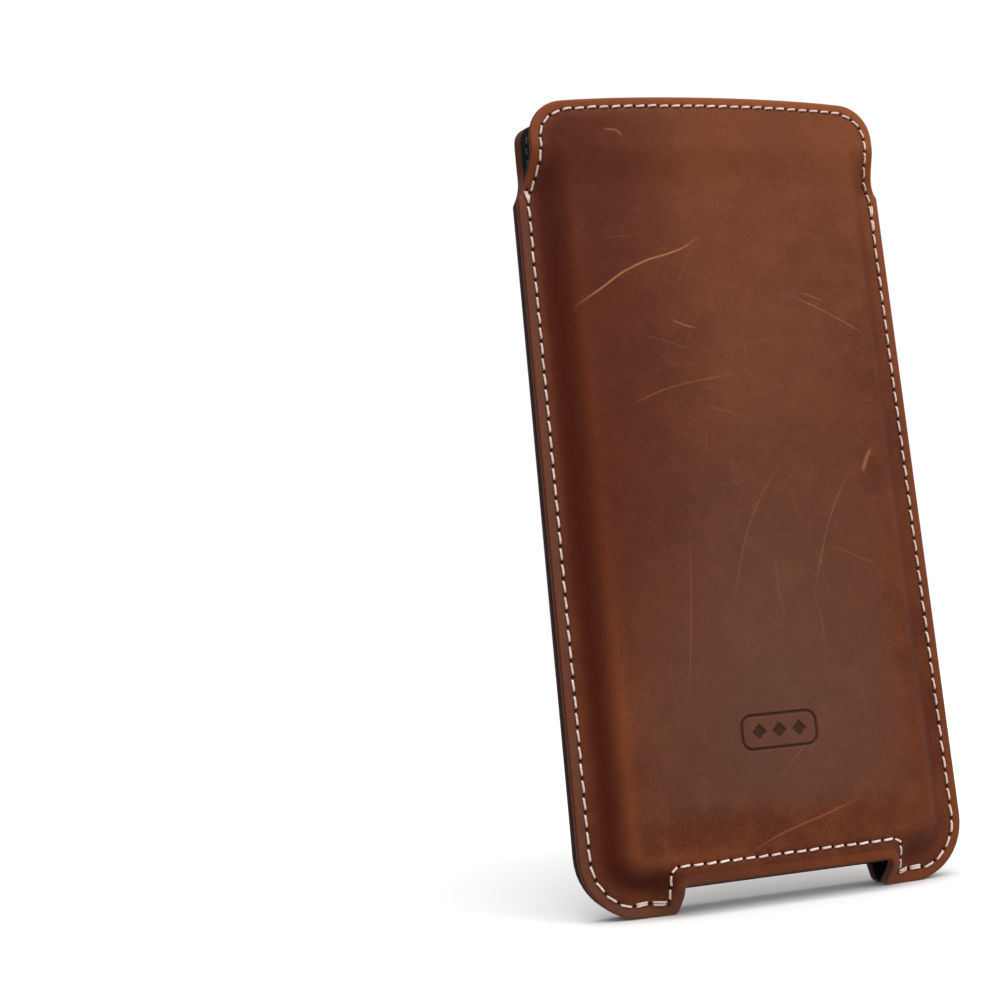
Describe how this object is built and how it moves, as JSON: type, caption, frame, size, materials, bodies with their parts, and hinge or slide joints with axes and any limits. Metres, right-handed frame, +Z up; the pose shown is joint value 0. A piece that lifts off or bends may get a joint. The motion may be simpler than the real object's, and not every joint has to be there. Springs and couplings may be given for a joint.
{
  "type": "leather phone sleeve",
  "caption": "Moulded leather slip case for a phone, lined with suede, sewn at the sides, open at the top, with a push notch between two feet.",
  "frame": {"origin": "on the ground line under the middle of the sleeve, in the plane where the two linings meet", "axes": "+Z up towards the mouth, front panel facing -Y, +X to the right as seen from the front"},
  "size_m": [0.088, 0.0198, 0.1775],
  "materials": {
    "leather": "waxed pull-up leather, satin, with light scratches",
    "lining": "black suede",
    "thread": "cream twisted thread",
    "lining_thread": "black twisted thread"
  },
  "bodies": {
    "root": {"front_leather": "leather", "back_leather": "leather", "front_lining": "lining", "back_lining": "lining", "left_seam_needle_thread": "thread", "left_seam_bobbin_thread": "thread", "right_seam_needle_thread": "thread", "right_seam_bobbin_thread": "thread", "front_mouth_needle_thread": "thread", "front_mouth_bobbin_thread": "lining_thread", "back_mouth_needle_thread": "thread", "back_mouth_bobbin_thread": "lining_thread", "front_notch_needle_thread": "thread", "front_notch_bobbin_thread": "lining_thread", "back_notch_needle_thread": "thread", "back_notch_bobbin_thread": "lining_thread"}
  },
  "joints": []
}
